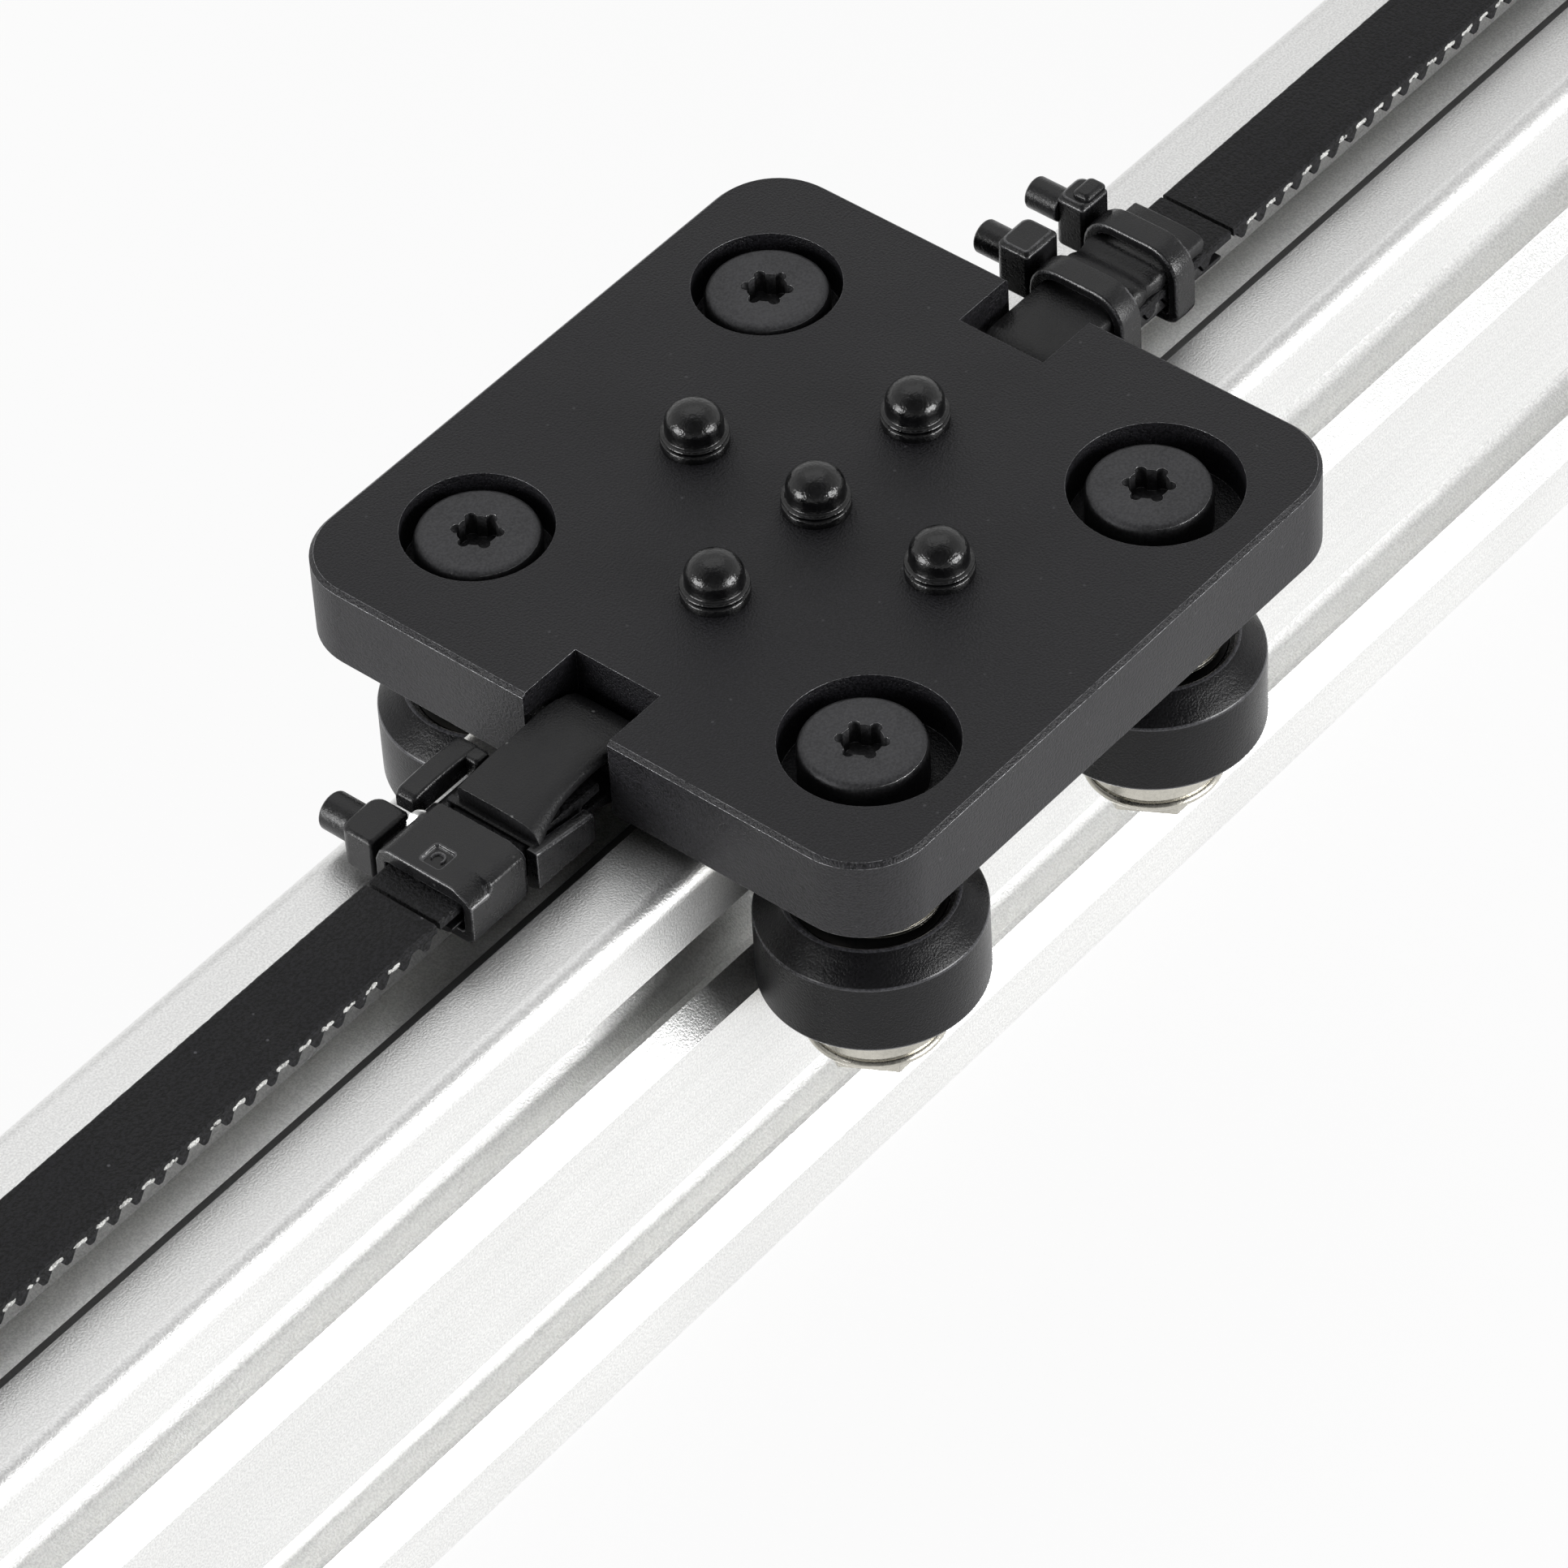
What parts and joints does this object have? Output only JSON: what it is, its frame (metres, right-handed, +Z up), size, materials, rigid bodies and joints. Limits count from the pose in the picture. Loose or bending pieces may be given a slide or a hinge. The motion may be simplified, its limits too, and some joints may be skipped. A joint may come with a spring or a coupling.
{
  "type": "belt driven linear axis",
  "caption": "Slotted rail with a V-wheel carriage plate pulled by a toothed belt that runs over the rail, round a pulley at each end and back through the rail.",
  "frame": {"origin": "centre of the underside of the rail, at the mouth of its bottom slot", "axes": "+X along the rail towards the drive end, +Y towards the free end of the drive shaft, +Z up through the carriage plate"},
  "size_m": [0.314, 0.0605, 0.0507],
  "materials": {
    "rail_alloy": "fine speckled satin",
    "plate_black": "satin black anodised",
    "end_black": "satin black",
    "dark_steel": "blackened steel",
    "nickel": "nickel plated",
    "bright_steel": "ground steel",
    "belt_black": "matt, faintly speckled",
    "tie_black": "glossy nylon",
    "stud_black": "glossy",
    "wheel_black": "hard matt plastic"
  },
  "bodies": {
    "frame": {"rail": "rail_alloy", "end_plate_idler_front": "end_black", "end_plate_idler_back": "end_black", "end_plate_drive_front": "end_black", "end_plate_drive_back": "end_black", "end_plate_screws": "dark_steel", "slot_nuts": "bright_steel", "standoffs": "bright_steel", "standoff_screws": "dark_steel", "idler_axle_bolt": "dark_steel", "idler_axle_nut": "nickel", "idler_shims": "nickel", "drive_bearings": "bright_steel", "drive_belt": "belt_black"},
    "idler": {"idler_pulley": "rail_alloy", "idler_bearings": "bright_steel"},
    "drive": {"drive_shaft": "bright_steel", "drive_pulley": "rail_alloy", "pulley_grub_screws": "dark_steel", "drive_shims": "nickel", "shaft_clips": "dark_steel"},
    "carriage": {"carriage_plate": "plate_black", "domed_studs": "stud_black", "belt_pins": "bright_steel", "belt_end_near": "belt_black", "belt_end_far": "belt_black", "belt_loop_near": "belt_black", "belt_loop_far": "belt_black", "clamp_near_outer": "tie_black", "clamp_near_inner": "tie_black", "tie_far_inner": "tie_black", "tie_far_outer": "tie_black", "spacer_back_left": "nickel", "spacer_back_right": "nickel", "screw_back_left": "dark_steel", "screw_back_right": "dark_steel", "nut_back_left": "nickel", "nut_back_right": "nickel"},
    "eccentric_left": {"eccentric_front_left": "nickel", "screw_front_left": "dark_steel", "nut_front_left": "nickel"},
    "eccentric_right": {"eccentric_front_right": "nickel", "screw_front_right": "dark_steel", "nut_front_right": "nickel"},
    "wheel_bl": {"wheel_back_left": "wheel_black", "bearings_back_left": "bright_steel"},
    "wheel_br": {"wheel_back_right": "wheel_black", "bearings_back_right": "bright_steel"},
    "wheel_fl": {"wheel_front_left": "wheel_black", "bearings_front_left": "bright_steel"},
    "wheel_fr": {"wheel_front_right": "wheel_black", "bearings_front_right": "bright_steel"}
  },
  "joints": [
    {"name": "carriage_slide", "type": "slide", "parent": "frame", "child": "carriage", "axis": [1, 0, 0], "range_m": [-0.066, 0.066], "deforming": ["drive_belt"]},
    {"name": "eccentric_left_turn", "type": "hinge", "parent": "carriage", "child": "eccentric_left", "pos_m": [-0.0144, -0.01622, 0.044], "axis": [0, 0, 1], "range_deg": [0, 180]},
    {"name": "eccentric_right_turn", "type": "hinge", "parent": "carriage", "child": "eccentric_right", "pos_m": [0.0144, -0.01622, 0.044], "axis": [0, 0, 1], "range_deg": [0, 180]},
    {"name": "wheel_bl_roll", "type": "hinge", "parent": "carriage", "child": "wheel_bl", "pos_m": [-0.0144, 0.01568, 0.03], "axis": [0, 0, 1], "continuous": true},
    {"name": "wheel_br_roll", "type": "hinge", "parent": "carriage", "child": "wheel_br", "pos_m": [0.0144, 0.01568, 0.03], "axis": [0, 0, 1], "continuous": true},
    {"name": "wheel_fl_roll", "type": "hinge", "parent": "eccentric_left", "child": "wheel_fl", "pos_m": [-0.0144, -0.01568, 0.03], "axis": [0, 0, 1], "continuous": true},
    {"name": "wheel_fr_roll", "type": "hinge", "parent": "eccentric_right", "child": "wheel_fr", "pos_m": [0.0144, -0.01568, 0.03], "axis": [0, 0, 1], "continuous": true},
    {"name": "idler_turn", "type": "hinge", "parent": "frame", "child": "idler", "pos_m": [-0.141, 0, 0.03216], "axis": [0, 1, 0], "continuous": true},
    {"name": "drive_turn", "type": "hinge", "parent": "frame", "child": "drive", "pos_m": [0.141, 0, 0.03216], "axis": [0, 1, 0], "continuous": true}
  ],
  "couplings": [
    {"joint": "wheel_bl_roll", "follows": "carriage_slide", "rad_per_m": -153.02},
    {"joint": "wheel_br_roll", "follows": "carriage_slide", "rad_per_m": -153.02},
    {"joint": "wheel_fl_roll", "follows": "carriage_slide", "rad_per_m": 153.02},
    {"joint": "wheel_fr_roll", "follows": "carriage_slide", "rad_per_m": 153.02},
    {"joint": "idler_turn", "follows": "carriage_slide", "rad_per_m": 87.266},
    {"joint": "drive_turn", "follows": "carriage_slide", "rad_per_m": 87.266}
  ]
}
